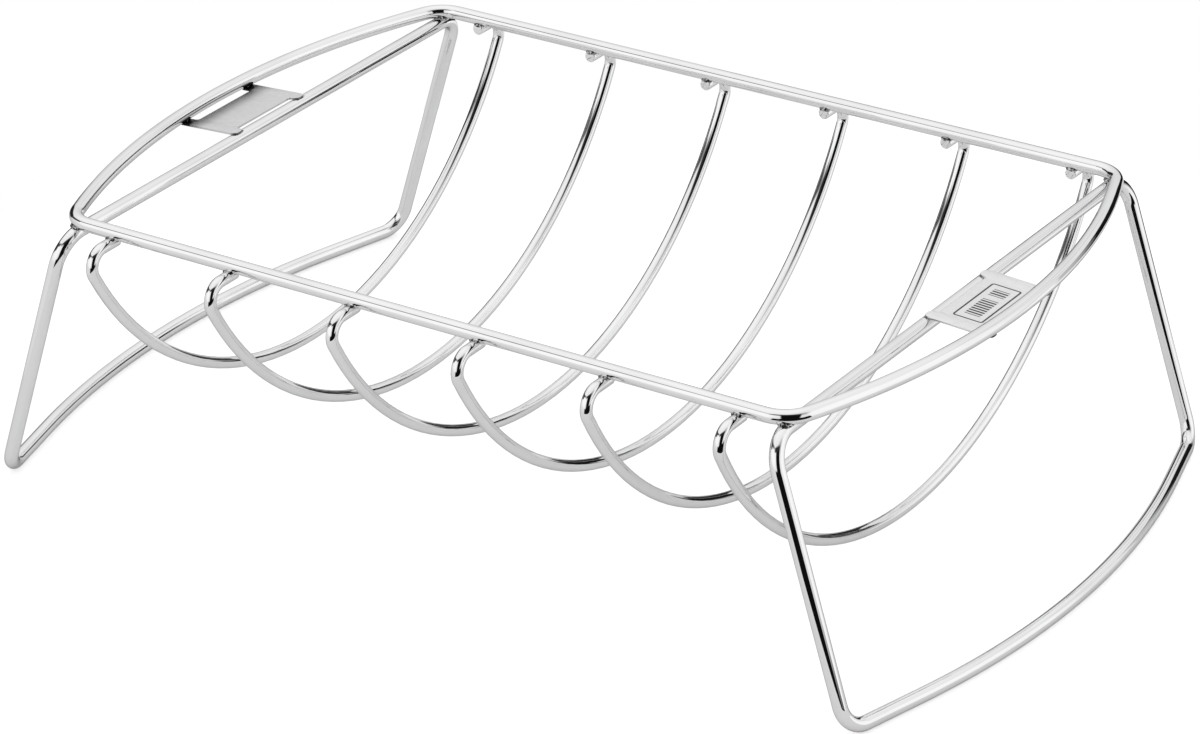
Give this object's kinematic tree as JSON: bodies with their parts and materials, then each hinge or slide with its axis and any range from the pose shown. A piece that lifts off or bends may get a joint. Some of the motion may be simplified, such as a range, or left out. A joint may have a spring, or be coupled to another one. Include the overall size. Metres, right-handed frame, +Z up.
{
  "type": "roasting rack",
  "caption": "Free-standing roasting rack of welded round wire: a long rim on two splayed wire end frames, with curved ribs hung between its rails as a cradle and a small plate at each end.",
  "frame": {"origin": "on the surface that the rack stands on, under the middle of the rack", "axes": "+X along the rack, +Y across it from front to back, +Z up"},
  "size_m": [0.4602, 0.2982, 0.1247],
  "materials": {
    "polished_wire": "bright mirror polish on round steel wire",
    "satin_sheet": "fine satin grain on thin steel sheet"
  },
  "bodies": {
    "root": {"rim": "polished_wire", "end_frame_left": "polished_wire", "end_frame_right": "polished_wire", "rib_1": "polished_wire", "rib_2": "polished_wire", "rib_3": "polished_wire", "rib_4": "polished_wire", "rib_5": "polished_wire", "rib_6": "polished_wire", "plate_left": "satin_sheet", "plate_right": "satin_sheet"}
  },
  "joints": []
}
